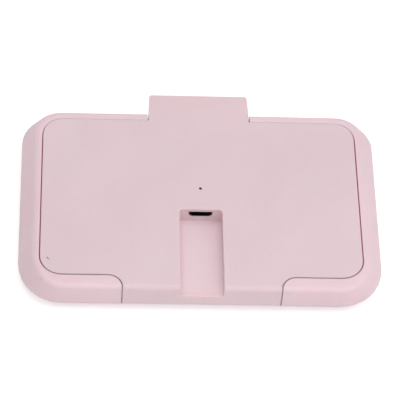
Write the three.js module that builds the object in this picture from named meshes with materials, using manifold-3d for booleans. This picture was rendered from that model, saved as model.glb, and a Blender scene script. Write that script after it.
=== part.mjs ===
// Baby wipe warmer: a heated lid hinged in a rounded frame that is stuck on a pack of wipes.
// Millimetres, +Z up. The origin is under the middle of the outline, on the surface it rests on.
// The near side, with the hinge and the cable recess, faces -Y. The finger tab points to +Y.

import * as THREE from 'three';
import { mergeVertices } from 'three/addons/utils/BufferGeometryUtils.js';
import Module from 'manifold-3d';

const wasm = await Module();
wasm.setup();

// Whole body
const bodyWidth = 120;
const bodyDepth = 72.4;
const frameHeight = 12;
const padThickness = 0.8;
const widestDrop = 7.7;
const cornerRadius = 14.4;
const rearCornerRadius = 8.6;
const sideEdgeRadius = 3.3;
const sideReach = 6.6;
const endEdgeRadius = 1.6;
const endReach = 1.8;

// Lid outline and finger tab
const sideBorder = 7.06;
const frontBorder = 5.3;
const rearBorder = 3.4;
const lidFrontRadius = 7.45;
const lidRearRadius = 6.9;
const tongueWidth = 52;
const shoulderRadius = 4.6;
const seamGap = 0.31;
const tabReach = 8;
const tabRootWidth = 34.2;
const tabEndWidth = 33.7;
const tabThickness = 2.6;
const tabCornerRadius = 0.9;
const tabNotchGap = 0.31;
const tabDroop = 0.6;

// Lid shell
const skinThickness = 1.4;
const flangeThickness = 2.4;
const skirtInset = 0.8;
const wallThickness = 1.6;
const ledgeWidth = 0.5;
const ledgeGap = 0.3;
const tongueWebThickness = 3;
const tongueLift = 0.6;
const pinholeDiameter = 1;
const pinholeSetback = 8.6;

// Cable recess and socket opening
const recessWidth = 14.2;
const recessLengthShare = 0.4406;
const recessRearDepth = 6.3;
const recessFrontDepth = 4;
const recessWall = 1.3;
const recessCornerRadius = 1.2;
const socketWidth = 7.9;
const socketHeight = 2.7;
const socketDrop = 1.4;
const socketChamfer = 0.9;

// Hinge
const hingeSetback = 1.8;
const hingeDrop = 2.5;
const pinDiameter = 1.5;
const pinLength = 8.4;
const pinFitGap = 0.2;
const coveGap = 0.05;

// Frame floor, wipe opening, seal and pad
const floorThickness = 1.6;
const openingWidth = 66;
const openingDepth = 32;
const openingRadius = 12;
const sealMargin = 4;
const sealWidth = 1.8;
const sealGroove = 0.7;
const sealRise = 0.5;
const sealFitGap = 0.1;
const padInset = 5;
const padOpeningMargin = 3;

// Inner cover, its screws, heat plate, film and foam
const coverLift = 0.8;
const coverThickness = 1;
const coverRimHeight = 1.2;
const coverRimWidth = 1.2;
const coverFitGap = 0.3;
const coverCupDiameter = 7;
const coverCupHeight = 2.2;
const coverBossDiameter = 5.4;
const coverBossInset = 6;
const plateWidth = 76;
const plateDepth = 40;
const plateThickness = 0.6;
const plateRadius = 8;
const panMargin = 4;
const filmThickness = 0.2;
const filmMargin = 2.5;
const foamThickness = 1.1;
const screwHeadDiameter = 3.8;
const screwHeadHeight = 1.1;
const screwShankDiameter = 2;
const screwLength = 6.2;
const screwRecess = 0.3;
const screwSlotWidth = 0.6;
const screwSlotDepth = 0.5;
const screwHoleGap = 0.2;

// Circuit board and what it carries
const boardWidth = 27;
const boardDepth = 16;
const boardThickness = 1;
const boardFitGap = 0.3;
const boardScrewInset = 2.7;
const boardBossDiameter = 4;
const boardScrewLength = 3;
const shellWidth = 7.5;
const shellHeight = 2.4;
const shellLength = 5.2;
const shellWall = 0.3;
const shellSetback = 0.15;
const contactTongueWidth = 3.9;
const contactTongueHeight = 0.6;
const contactTongueLength = 3.6;
const contactPitch = 0.65;
const contactWidth = 0.35;
const contactHeight = 0.12;
const contactLength = 2.6;
const contactCount = 5;
const ledWidth = 1.6;
const ledDepth = 0.8;
const ledHeight = 0.7;
const chipWidth = 4.9;
const chipDepth = 3.9;
const chipHeight = 1.5;
const transistorWidth = 3;
const transistorDepth = 2.8;
const transistorHeight = 1.2;
const smallPartWidth = 1.6;
const smallPartDepth = 0.8;
const smallPartHeight = 0.5;
const capacitorWidth = 2;
const capacitorDepth = 1.25;
const capacitorHeight = 0.9;

// Thermal cut-off, thermistor and leads
const cutoffDiameter = 2.2;
const cutoffLength = 7;
const thermistorDiameter = 1.4;
const thermistorLength = 2.4;
const leadDiameter = 0.9;
const thermistorLeadDiameter = 0.5;
const leadEndGap = 0.3;
const sensorSetback = 2.95;
const sensorFoamGap = 1.2;
const leadSpacing = 5;

// Shared construction values
const overrun = 2;
const arcSteps = 4;
const roundSides = 20;
const quarter = Math.PI / 2;

// Places worked out from the sizes
const overallDepth = bodyDepth + tabReach;
const frontY = -overallDepth / 2;
const rearY = frontY + bodyDepth;
const topZ = padThickness + frameHeight;
const lowerEdgeRadius = frameHeight - widestDrop;
const floorZ = padThickness + floorThickness;
const shoulderSeamY = frontY + frontBorder;
const lidRearY = rearY - rearBorder;
const lidHalf = bodyWidth / 2 - sideBorder;
const lidMiddleY = (shoulderSeamY + lidRearY) / 2;
const skinZ = topZ - skinThickness;
const flangeZ = topZ - flangeThickness;
const ledgeZ = flangeZ - ledgeGap;
const coverZ = floorZ + coverLift;
const skirtZ = coverZ + coverThickness;
const tongueZ = floorZ + tongueLift;
const hingeY = frontY + hingeSetback;
const hingeZ = topZ - hingeDrop;
const recessLength = bodyDepth * recessLengthShare;
const recessRearY = frontY + recessLength;
const boardFrontY = recessRearY + recessWall + boardFitGap;
const boardTopZ = topZ - socketDrop - socketHeight / 2 - shellHeight / 2;
const boardZ = boardTopZ - boardThickness;
const plateZ = skirtZ;
const filmZ = plateZ + plateThickness;
const foamZ = filmZ + filmThickness;

// Finishes
const finish = {
  pinkPlastic: () => new THREE.MeshStandardMaterial({ color: '#e6c8cf', roughness: 0.42, metalness: 0 }),
  whitePlastic: () => new THREE.MeshStandardMaterial({ color: '#ece9e6', roughness: 0.5, metalness: 0 }),
  blackPlastic: () => new THREE.MeshStandardMaterial({ color: '#1b1b1d', roughness: 0.5, metalness: 0 }),
  silicone: () => new THREE.MeshStandardMaterial({ color: '#e9e3e1', roughness: 0.6, metalness: 0 }),
  foam: () => new THREE.MeshStandardMaterial({ color: '#f2f0ec', roughness: 0.95, metalness: 0 }),
  steel: () => new THREE.MeshStandardMaterial({ color: '#b9bcc0', roughness: 0.32, metalness: 1 }),
  aluminium: () => new THREE.MeshStandardMaterial({ color: '#cfd2d4', roughness: 0.38, metalness: 1 }),
  filmOrange: () => new THREE.MeshStandardMaterial({ color: '#b06a1e', roughness: 0.35, metalness: 0 }),
  boardGreen: () => new THREE.MeshStandardMaterial({ color: '#1d6b3c', roughness: 0.45, metalness: 0 }),
  gold: () => new THREE.MeshStandardMaterial({ color: '#d8b25a', roughness: 0.3, metalness: 1 }),
  lens: () => new THREE.MeshStandardMaterial({ color: '#f4ecd8', roughness: 0.2, metalness: 0 }),
  ceramic: () => new THREE.MeshStandardMaterial({ color: '#b98f6a', roughness: 0.5, metalness: 0 }),
  redLead: () => new THREE.MeshStandardMaterial({ color: '#b3202a', roughness: 0.5, metalness: 0 }),
  blackLead: () => new THREE.MeshStandardMaterial({ color: '#18181a', roughness: 0.5, metalness: 0 }),
};

// A closed geometry as a solid that can be joined and cut
function solidOf(geometry) {
  const bare = geometry.clone();
  bare.deleteAttribute('normal');
  bare.deleteAttribute('uv');
  const merged = mergeVertices(bare);
  const vertProperties = new Float32Array(merged.attributes.position.array);
  const triVerts = new Uint32Array(merged.index.array);
  return new wasm.Manifold(new wasm.Mesh({ numProp: 3, vertProperties, triVerts }));
}

// A finished solid as a geometry
function geometryOf(solid) {
  const mesh = solid.getMesh();
  const geometry = new THREE.BufferGeometry();
  geometry.setAttribute('position', new THREE.BufferAttribute(new Float32Array(mesh.vertProperties), 3));
  geometry.setIndex(new THREE.BufferAttribute(new Uint32Array(mesh.triVerts), 1));
  geometry.computeVertexNormals();
  return geometry;
}

function part(name, solid, material) {
  const mesh = new THREE.Mesh(geometryOf(solid), material);
  mesh.name = name;
  return mesh;
}

// An outline in X and Y raised from one height to another
function prism(outline, bottom, top, steps = arcSteps) {
  const settings = { depth: top - bottom, bevelEnabled: false, curveSegments: steps };
  const geometry = new THREE.ExtrudeGeometry(outline, settings);
  geometry.translate(0, 0, bottom);
  return solidOf(geometry);
}

// An outline in Y and Z carried along X
function slab(outline, left, right, steps = arcSteps) {
  const settings = { depth: right - left, bevelEnabled: false, curveSegments: steps };
  const geometry = new THREE.ExtrudeGeometry(outline, settings);
  geometry.rotateY(quarter);
  geometry.rotateX(quarter);
  geometry.translate(left, 0, 0);
  return solidOf(geometry);
}

// A block between two corners
function block(left, right, near, far, bottom, top) {
  const geometry = new THREE.BoxGeometry(right - left, far - near, top - bottom);
  geometry.translate((left + right) / 2, (near + far) / 2, (bottom + top) / 2);
  return solidOf(geometry);
}

// A round post standing on one height
function post(x, y, diameter, bottom, top, sides = roundSides) {
  const geometry = new THREE.CylinderGeometry(diameter / 2, diameter / 2, top - bottom, sides);
  geometry.rotateX(quarter);
  geometry.translate(x, y, (bottom + top) / 2);
  return solidOf(geometry);
}

// A round bar along X
function bar(left, right, y, z, diameter, sides = roundSides) {
  const geometry = new THREE.CylinderGeometry(diameter / 2, diameter / 2, right - left, sides);
  geometry.rotateZ(quarter);
  geometry.translate((left + right) / 2, y, z);
  return solidOf(geometry);
}

// A rectangle with round corners about a middle point
function roundedRectangle(middleX, middleY, width, depth, radius) {
  const right = middleX + width / 2 - radius;
  const left = middleX - width / 2 + radius;
  const far = middleY + depth / 2 - radius;
  const near = middleY - depth / 2 + radius;
  const outline = new THREE.Shape();
  outline.absarc(right, near, radius, -quarter, 0, false);
  outline.absarc(right, far, radius, 0, quarter, false);
  outline.absarc(left, far, radius, quarter, Math.PI, false);
  outline.absarc(left, near, radius, Math.PI, Math.PI + quarter, false);
  outline.closePath();
  return outline;
}

// The body's rim in section: an arc off the flat top, a straight wall and an arc under the widest height
function edgeSection(topRadius, reach) {
  const fall = widestDrop - topRadius;
  const run = reach - lowerEdgeRadius;
  const tilt = Math.asin((topRadius - lowerEdgeRadius) / Math.hypot(run, fall));
  return { topRadius, reach, slope: Math.atan2(fall, run) + tilt };
}

function reachAtDrop(edge, drop) {
  const topEnd = edge.topRadius * (1 - Math.cos(edge.slope));
  const wallEnd = widestDrop - lowerEdgeRadius * Math.cos(edge.slope);
  if (drop <= topEnd) {
    return Math.sqrt(Math.max(0, 2 * edge.topRadius * drop - drop * drop));
  }
  if (drop <= wallEnd) {
    return edge.topRadius * Math.sin(edge.slope) + (drop - topEnd) / Math.tan(edge.slope);
  }
  const below = drop - widestDrop;
  return edge.reach - lowerEdgeRadius + Math.sqrt(Math.max(0, lowerEdgeRadius ** 2 - below ** 2));
}

// One level ring of the body. The two near corners are elliptical and keep their centres at every height,
// and the two far corners keep their radius.
function bodyRing(drop, side, end, steps) {
  const halfWidth = bodyWidth / 2 - side.reach + reachAtDrop(side, drop);
  const near = frontY + end.reach - reachAtDrop(end, drop);
  const far = rearY - end.reach + reachAtDrop(end, drop);
  const nearX = bodyWidth / 2 - cornerRadius;
  const nearY = frontY + cornerRadius;
  const farX = halfWidth - rearCornerRadius;
  const farY = far - rearCornerRadius;
  const corners = [
    { x: nearX, y: nearY, across: halfWidth - nearX, along: nearY - near, from: -quarter },
    { x: farX, y: farY, across: rearCornerRadius, along: rearCornerRadius, from: 0 },
    { x: -farX, y: farY, across: rearCornerRadius, along: rearCornerRadius, from: quarter },
    { x: -nearX, y: nearY, across: halfWidth - nearX, along: nearY - near, from: Math.PI },
  ];
  const ring = [];
  for (const corner of corners) {
    for (let step = 0; step <= steps; step += 1) {
      const turn = corner.from + (quarter * step) / steps;
      const x = corner.x + corner.across * Math.cos(turn);
      const y = corner.y + corner.along * Math.sin(turn);
      ring.push(x, y, topZ - drop);
    }
  }
  return ring;
}

// Rings of equal length joined into one closed skin, the first ring on top
function loft(rings) {
  const count = rings[0].length / 3;
  const triangles = [];
  for (let level = 0; level + 1 < rings.length; level += 1) {
    for (let point = 0; point < count; point += 1) {
      const next = (point + 1) % count;
      const upper = level * count;
      const lower = upper + count;
      triangles.push(upper + point, lower + point, lower + next);
      triangles.push(upper + point, lower + next, upper + next);
    }
  }
  const last = (rings.length - 1) * count;
  for (let point = 1; point + 1 < count; point += 1) {
    triangles.push(0, point, point + 1);
    triangles.push(last, last + point + 1, last + point);
  }
  const geometry = new THREE.BufferGeometry();
  geometry.setAttribute('position', new THREE.BufferAttribute(new Float32Array(rings.flat()), 3));
  geometry.setIndex(triangles);
  return solidOf(geometry);
}

// The outer form that the frame and the lid share, so that they are flush at their seam
function bodyEnvelope() {
  const side = edgeSection(sideEdgeRadius, sideReach);
  const end = edgeSection(endEdgeRadius, endReach);
  const topSteps = 5;
  const lowerSteps = 5;
  const topDepth = sideEdgeRadius * (1 - Math.cos(side.slope));
  const rings = [];
  for (let step = 0; step <= topSteps; step += 1) {
    const drop = topDepth * (1 - Math.cos((quarter * step) / topSteps));
    rings.push(bodyRing(drop, side, end, 2 * arcSteps));
  }
  const leanTurn = side.slope - quarter;
  const turns = [leanTurn, leanTurn / 2];
  for (let step = 0; step <= lowerSteps; step += 1) {
    turns.push((quarter * step) / lowerSteps);
  }
  for (const turn of turns) {
    const drop = widestDrop + lowerEdgeRadius * Math.sin(turn);
    rings.push(bodyRing(drop, side, end, 2 * arcSteps));
  }
  return loft(rings);
}

// The seam's outline: the lid, running out to the near edge between the two shoulders
function seamOutline(grow) {
  const half = lidHalf + grow;
  const tongue = tongueWidth / 2 + grow;
  const concave = shoulderRadius - grow;
  const frontRadius = lidFrontRadius + grow;
  const rearRadius = lidRearRadius + grow;
  const seam = shoulderSeamY - grow;
  const rear = lidRearY + grow;
  const ahead = frontY - overrun;
  const outline = new THREE.Shape();
  outline.moveTo(-tongue, ahead);
  outline.lineTo(tongue, ahead);
  outline.absarc(tongue + concave, seam - concave, concave, Math.PI, quarter, true);
  outline.absarc(half - frontRadius, seam + frontRadius, frontRadius, -quarter, 0, false);
  outline.absarc(half - rearRadius, rear - rearRadius, rearRadius, 0, quarter, false);
  outline.absarc(-half + rearRadius, rear - rearRadius, rearRadius, quarter, Math.PI, false);
  outline.absarc(-half + frontRadius, seam + frontRadius, frontRadius, Math.PI, Math.PI + quarter, false);
  outline.absarc(-tongue - concave, seam - concave, concave, quarter, 0, true);
  outline.closePath();
  return outline;
}

// The lid's outline without the tongue, drawn in by a step, for its skirt, cavity and cover
function panelOutline(inset) {
  const width = 2 * (lidHalf - inset);
  const near = shoulderSeamY + inset;
  const far = lidRearY - inset;
  return roundedRectangle(0, (near + far) / 2, width, far - near, lidRearRadius - inset / 2);
}

// The finger tab in plan, from inside the lid to its free end
function tabOutline(grow) {
  const root = tabRootWidth / 2 + grow;
  const tip = tabEndWidth / 2 + grow;
  const tipY = rearY + tabReach + grow;
  const radius = tabCornerRadius + grow;
  const outline = new THREE.Shape();
  outline.moveTo(-root, lidRearY - wallThickness);
  outline.lineTo(root, lidRearY - wallThickness);
  outline.lineTo(root, rearY);
  outline.lineTo(tip, tipY - radius);
  outline.absarc(tip - radius, tipY - radius, radius, 0, quarter, false);
  outline.absarc(-tip + radius, tipY - radius, radius, quarter, Math.PI, false);
  outline.lineTo(-root, rearY);
  outline.closePath();
  return outline;
}

// The finger tab: level over the body's edge, then drooping to its free end
function makeTab() {
  const inner = lidRearY - wallThickness;
  const tipY = rearY + tabReach;
  const bottom = topZ - tabThickness;
  const side = new THREE.Shape();
  side.moveTo(inner, bottom);
  side.lineTo(rearY, bottom);
  side.lineTo(tipY, bottom - tabDroop);
  side.lineTo(tipY, topZ - tabDroop);
  side.lineTo(rearY, topZ);
  side.lineTo(inner, topZ);
  side.closePath();
  const plan = prism(tabOutline(0), bottom - overrun, topZ + overrun);
  return plan.intersect(slab(side, -tabRootWidth, tabRootWidth));
}

// The space over the sloping floor of the cable recess, lowered for the floor's underside
function overRecessFloor(lower) {
  const rise = (recessRearDepth - recessFrontDepth) / recessLength;
  const near = frontY - overrun;
  const far = recessRearY + recessWall + overrun;
  const heightAt = (y) => topZ - recessRearDepth - lower + (recessRearY - y) * rise;
  const outline = new THREE.Shape();
  outline.moveTo(near, heightAt(near));
  outline.lineTo(far, heightAt(far));
  outline.lineTo(far, topZ + overrun);
  outline.lineTo(near, topZ + overrun);
  outline.closePath();
  return slab(outline, -recessWidth, recessWidth);
}

// The cable recess: a channel with an open near end, or the block of plastic that it is let into
function recessForm(wall, lower, top) {
  const near = frontY - overrun;
  const far = recessRearY + wall;
  const depth = far - near + overrun;
  const width = recessWidth + 2 * wall;
  const plan = roundedRectangle(0, far - depth / 2, width, depth, recessCornerRadius);
  return prism(plan, floorZ, top).intersect(overRecessFloor(lower));
}

// The socket's mouth in the recess's rear wall, with its lower corners cut off
function socketOutline(width, height, chamfer) {
  const middle = topZ - socketDrop - socketHeight / 2;
  const outline = new THREE.Shape();
  outline.moveTo(-width / 2, middle + height / 2);
  outline.lineTo(-width / 2, middle - height / 2 + chamfer);
  outline.lineTo(-width / 2 + chamfer, middle - height / 2);
  outline.lineTo(width / 2 - chamfer, middle - height / 2);
  outline.lineTo(width / 2, middle - height / 2 + chamfer);
  outline.lineTo(width / 2, middle + height / 2);
  outline.closePath();
  return outline;
}

// An outline in X and Z carried along Y
function drawnAlongY(outline, near, far) {
  const geometry = new THREE.ExtrudeGeometry(outline, { depth: far - near, bevelEnabled: false });
  geometry.rotateX(quarter);
  geometry.translate(0, far, 0);
  return solidOf(geometry);
}

// The space that the frame's top edge sweeps past the lid as it turns, a turned form about the hinge.
// Its radius follows the seam: short beside the tongue, growing round both curves, level between them.
function hingeCove() {
  const gap = seamGap / 2;
  const inner = tongueWidth / 2 - gap;
  const half = lidHalf - gap;
  const seam = shoulderSeamY + gap;
  const concave = shoulderRadius + gap;
  const convex = lidFrontRadius - gap;
  const steps = 2 * arcSteps;
  const radiusAt = (y) => Math.hypot(Math.max(y - hingeY, 0), hingeDrop) - coveGap;
  const points = [new THREE.Vector2(0, inner)];
  for (let step = 0; step <= steps; step += 1) {
    const turn = (quarter * step) / steps;
    const y = seam - concave + concave * Math.sin(turn);
    points.push(new THREE.Vector2(radiusAt(y), inner + concave * (1 - Math.cos(turn))));
  }
  for (let step = 0; step <= steps; step += 1) {
    const turn = (quarter * step) / steps;
    const y = seam + convex * (1 - Math.cos(turn));
    points.push(new THREE.Vector2(radiusAt(y), half - convex + convex * Math.sin(turn)));
  }
  points.push(new THREE.Vector2(radiusAt(seam + convex), half + overrun));
  points.push(new THREE.Vector2(0, half + overrun));
  const right = new THREE.LatheGeometry(points, 2 * roundSides);
  right.rotateZ(-quarter);
  right.translate(0, hingeY, hingeZ);
  const left = new THREE.LatheGeometry(points, 2 * roundSides);
  left.rotateZ(quarter);
  left.translate(0, hingeY, hingeZ);
  return solidOf(right).add(solidOf(left));
}

function bothSides(make) {
  return make(-1).add(make(1));
}

// Bores for the two hinge pins, which reach from the tongue's webs into the shoulders
function pinBores() {
  const near = tongueWidth / 2 - tongueWebThickness - seamGap;
  const far = near + pinLength + pinFitGap;
  const diameter = pinDiameter + 2 * pinFitGap;
  return bothSides((side) => {
    const left = side < 0 ? -far : near;
    return bar(left, left + far - near, hingeY, hingeZ, diameter);
  });
}

function hingePin(side) {
  const near = tongueWidth / 2 - tongueWebThickness;
  const left = side < 0 ? -near - pinLength + seamGap : near;
  return bar(left, left + pinLength - seamGap, hingeY, hingeZ, pinDiameter);
}

const wipeOpening = (grow) => roundedRectangle(
  0, lidMiddleY, openingWidth + 2 * grow, openingDepth + 2 * grow, openingRadius + grow);

// Seal ring between two outlines round the wipe opening
function sealRing(bottom, top, spare) {
  const outer = prism(wipeOpening(sealMargin + sealWidth / 2 + spare), bottom, top);
  const inner = prism(wipeOpening(sealMargin - sealWidth / 2 - spare), bottom - overrun, top + overrun);
  return outer.subtract(inner);
}

// The space that the lid closes down into. It is narrower below, which leaves a ledge under the lid's edge.
function lidSpace() {
  const gap = seamGap / 2;
  const upper = prism(seamOutline(gap), ledgeZ, topZ + overrun, 2 * arcSteps);
  const lower = prism(panelOutline(ledgeWidth - gap), floorZ, topZ, 2 * arcSteps);
  const half = tongueWidth / 2 + gap;
  const tongue = block(-half, half, frontY - overrun, shoulderSeamY + overrun, floorZ, topZ);
  return upper.add(lower).add(tongue);
}

function makeFrame(envelope) {
  const notchZ = topZ - tabThickness - tabNotchGap;
  const notch = prism(tabOutline(tabNotchGap), notchZ, topZ + overrun);
  const opening = prism(wipeOpening(0), 0, floorZ + overrun);
  const groove = sealRing(floorZ - sealGroove, floorZ + overrun, sealFitGap);
  return envelope.subtract(lidSpace()).subtract(notch).subtract(opening).subtract(groove).subtract(pinBores());
}

function makeSeal() {
  return sealRing(floorZ - sealGroove, floorZ + sealRise, 0);
}

function makePad() {
  const width = bodyWidth - 2 * padInset;
  const depth = bodyDepth - 2 * padInset;
  const outline = roundedRectangle(0, frontY + bodyDepth / 2, width, depth, cornerRadius - padInset);
  const opening = prism(wipeOpening(padOpeningMargin), -overrun, padThickness + overrun);
  return prism(outline, 0, padThickness).subtract(opening);
}

// Where the four screws of the inner cover stand
function coverScrewPlaces() {
  const x = lidHalf - coverBossInset - skirtInset;
  const near = shoulderSeamY + coverBossInset + skirtInset;
  const far = lidRearY - coverBossInset - skirtInset;
  return [[-x, near], [x, near], [-x, far], [x, far]];
}

// Where the two screws of the circuit board stand
function boardScrewPlaces() {
  const x = boardWidth / 2 - boardScrewInset;
  const y = boardFrontY + boardDepth - boardScrewInset;
  return [[-x, y], [x, y]];
}

const hangsFromSkin = (bottom) => ([x, y], diameter) => post(x, y, diameter, bottom, skinZ + skinThickness / 2);

// The lid's hollow: the panel's and the tongue's, with the recess block left standing in them
function lidHollow() {
  const panel = prism(panelOutline(seamGap / 2 + skirtInset + wallThickness), 0, skinZ);
  const half = tongueWidth / 2 - seamGap / 2 - tongueWebThickness;
  const near = frontY + endReach + wallThickness / 2;
  const far = shoulderSeamY + skirtInset + wallThickness + overrun;
  const tongue = block(-half, half, near, far, 0, skinZ);
  return panel.add(tongue).subtract(recessForm(recessWall, recessWall, topZ));
}

function makeLidShell(envelope) {
  const gap = seamGap / 2;
  const flange = prism(seamOutline(-gap), flangeZ, topZ + overrun, 2 * arcSteps);
  const skirt = prism(panelOutline(gap + skirtInset), skirtZ, topZ);
  const half = tongueWidth / 2 - gap;
  const tongueFar = shoulderSeamY + gap + skirtInset + wallThickness;
  const tongue = block(-half, half, frontY - overrun, tongueFar, tongueZ, topZ);
  const outside = flange.add(skirt).add(tongue).intersect(envelope);
  const coverSpace = prism(panelOutline(gap + skirtInset - coverFitGap), 0, skirtZ);
  let shell = outside.subtract(hingeCove()).add(makeTab()).subtract(lidHollow()).subtract(coverSpace);
  const coverBossZ = coverZ + coverCupHeight;
  for (const place of coverScrewPlaces()) {
    const boss = hangsFromSkin(coverBossZ)(place, coverBossDiameter);
    const hole = post(...place, screwShankDiameter + 2 * screwHoleGap, coverBossZ - overrun, skinZ);
    shell = shell.add(boss).subtract(hole);
  }
  for (const place of boardScrewPlaces()) {
    const boss = hangsFromSkin(boardTopZ)(place, boardBossDiameter);
    const hole = post(...place, screwShankDiameter + 2 * screwHoleGap, boardZ, skinZ);
    shell = shell.add(boss).subtract(hole);
  }
  const recess = recessForm(0, 0, topZ + overrun);
  const socket = drawnAlongY(
    socketOutline(socketWidth, socketHeight, socketChamfer),
    recessRearY - overrun, recessRearY + recessWall + overrun);
  const pinhole = post(0, recessRearY + pinholeSetback, pinholeDiameter, skinZ - overrun, topZ + overrun);
  return shell.subtract(recess).subtract(socket).subtract(pinhole).subtract(pinBores());
}

function makeInnerCover() {
  const inset = seamGap / 2 + skirtInset;
  const rimInset = inset + wallThickness + coverFitGap;
  let cover = prism(panelOutline(inset), coverZ, skirtZ);
  const rim = prism(panelOutline(rimInset), skirtZ - coverThickness / 2, skirtZ + coverRimHeight)
    .subtract(prism(panelOutline(rimInset + coverRimWidth), 0, topZ));
  const tonguePassage = block(
    -tongueWidth / 2, tongueWidth / 2, frontY, shoulderSeamY + rimInset + coverRimWidth, skirtZ, topZ);
  cover = cover.add(rim.subtract(tonguePassage));
  for (const place of coverScrewPlaces()) {
    cover = cover.add(post(...place, coverCupDiameter, coverZ, coverZ + coverCupHeight));
    const headSpace = screwHeadDiameter + 2 * screwHoleGap;
    cover = cover.subtract(post(...place, headSpace, coverZ - overrun, coverZ + screwRecess + screwHeadHeight));
    cover = cover.subtract(post(...place, screwShankDiameter + 2 * screwHoleGap, coverZ, topZ));
  }
  const pan = plateOutline(-panMargin + coverFitGap);
  return cover.subtract(prism(pan, coverZ - overrun, topZ));
}

const plateOutline = (grow) => roundedRectangle(
  0, lidMiddleY, plateWidth + 2 * grow, plateDepth + 2 * grow, plateRadius + grow);

function makeHeatPlate() {
  const pan = prism(plateOutline(-panMargin), coverZ, plateZ + plateThickness / 2);
  return prism(plateOutline(0), plateZ, filmZ).add(pan);
}

function makeFilm() {
  return prism(plateOutline(-filmMargin), filmZ, foamZ);
}

// Insulation that leaves room for the recess block and for the sensors behind it
function makeFoam() {
  const sheet = prism(plateOutline(-filmMargin), foamZ, foamZ + foamThickness);
  const half = recessWidth / 2 + recessWall + boardFitGap;
  const near = lidMiddleY - plateDepth;
  const recessSpace = block(-half, half, near, recessRearY + recessWall + boardFitGap, foamZ - overrun, topZ);
  const rearSpace = sensorY - cutoffDiameter / 2 - sensorFoamGap;
  const sensorSpace = block(-plateWidth, plateWidth, rearSpace, rearY, foamZ - overrun, topZ);
  return sheet.subtract(recessSpace).subtract(sensorSpace);
}

// A pan-head screw driven upwards from under its head
function screwAt(x, y, headZ, length) {
  const neckZ = headZ + screwHeadHeight;
  const head = post(x, y, screwHeadDiameter, headZ, neckZ);
  const shank = post(x, y, screwShankDiameter, neckZ - screwHeadHeight / 2, neckZ + length, roundSides / 2);
  const half = screwHeadDiameter / 3;
  const slotTop = headZ + screwSlotDepth;
  const across = block(x - half, x + half, y - screwSlotWidth / 2, y + screwSlotWidth / 2, 0, slotTop);
  const along = block(x - screwSlotWidth / 2, x + screwSlotWidth / 2, y - half, y + half, 0, slotTop);
  return head.add(shank).subtract(across.add(along));
}

function makeBoard() {
  const left = -boardWidth / 2;
  const far = boardFrontY + boardDepth;
  let board = block(left, left + boardWidth, boardFrontY, far, boardZ, boardTopZ);
  for (const [x, y] of boardScrewPlaces()) {
    board = board.subtract(post(x, y, screwShankDiameter + 2 * screwHoleGap, boardZ - overrun, topZ));
  }
  return board;
}

const shellNear = recessRearY + shellSetback;
const shellMiddleZ = topZ - socketDrop - socketHeight / 2;

function makeSocketShell() {
  const outer = drawnAlongY(socketOutline(shellWidth, shellHeight, socketChamfer), shellNear, shellNear + shellLength);
  const inner = drawnAlongY(
    socketOutline(shellWidth - 2 * shellWall, shellHeight - 2 * shellWall, socketChamfer - shellWall / 2),
    shellNear - overrun, shellNear + shellLength - shellWall);
  return outer.subtract(inner);
}

const contactTongueNear = shellNear + shellLength - shellWall - contactTongueLength;
const contactTongueTopZ = shellMiddleZ + contactTongueHeight;

function makeContactTongue() {
  const half = contactTongueWidth / 2;
  const far = contactTongueNear + contactTongueLength;
  return block(-half, half, contactTongueNear, far, contactTongueTopZ - contactTongueHeight, contactTongueTopZ);
}

function makeContact(index) {
  const x = (index - (contactCount - 1) / 2) * contactPitch;
  const bottom = contactTongueTopZ - contactTongueHeight - contactHeight;
  const near = contactTongueNear + contactTongueLength - contactLength;
  return block(x - contactWidth / 2, x + contactWidth / 2, near, near + contactLength, bottom, bottom + contactHeight);
}

// Something soldered flat on the board's upper face
function onBoard(x, y, width, depth, height) {
  return block(x - width / 2, x + width / 2, y - depth / 2, y + depth / 2, boardTopZ, boardTopZ + height);
}

// A round wire along a smooth run of points
function lead(points, diameter) {
  const curve = new THREE.CatmullRomCurve3(points.map(([x, y, z]) => new THREE.Vector3(x, y, z)));
  const section = new THREE.Shape();
  section.absarc(0, 0, diameter / 2, 0, 2 * Math.PI, false);
  const geometry = new THREE.ExtrudeGeometry(section, { steps: 16, extrudePath: curve, curveSegments: 4 });
  return solidOf(geometry);
}

// Sensor row: the thermal cut-off and the thermistor lie on the film behind the insulation
const boardRearY = boardFrontY + boardDepth;
const sensorY = boardRearY + sensorSetback;
const cutoffX = -2 * leadSpacing;
const thermistorX = 2 * leadSpacing;

function makeCutoff() {
  return bar(cutoffX - cutoffLength / 2, cutoffX + cutoffLength / 2, sensorY, foamZ + cutoffDiameter / 2, cutoffDiameter);
}

function makeThermistor() {
  const z = foamZ + thermistorDiameter / 2;
  const half = thermistorLength / 2;
  return bar(thermistorX - half, thermistorX + half, sensorY, z, thermistorDiameter, roundSides / 2);
}

// A lead from the board's rear edge to a point on the sensor row, which it reaches from one side
function leadFromBoard(boardX, endX, endZ, fromSide, diameter) {
  const startY = boardRearY + leadEndGap;
  const startZ = boardZ + boardThickness / 2;
  const outY = boardRearY + 3 * diameter;
  return lead([
    [boardX, startY, startZ],
    [boardX, outY, startZ],
    [(boardX + endX) / 2 + fromSide * diameter, (outY + sensorY) / 2, (startZ + endZ) / 2 + diameter],
    [endX + fromSide * 2 * diameter, sensorY, endZ + diameter / 2],
    [endX, sensorY, endZ],
  ], diameter);
}

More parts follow.
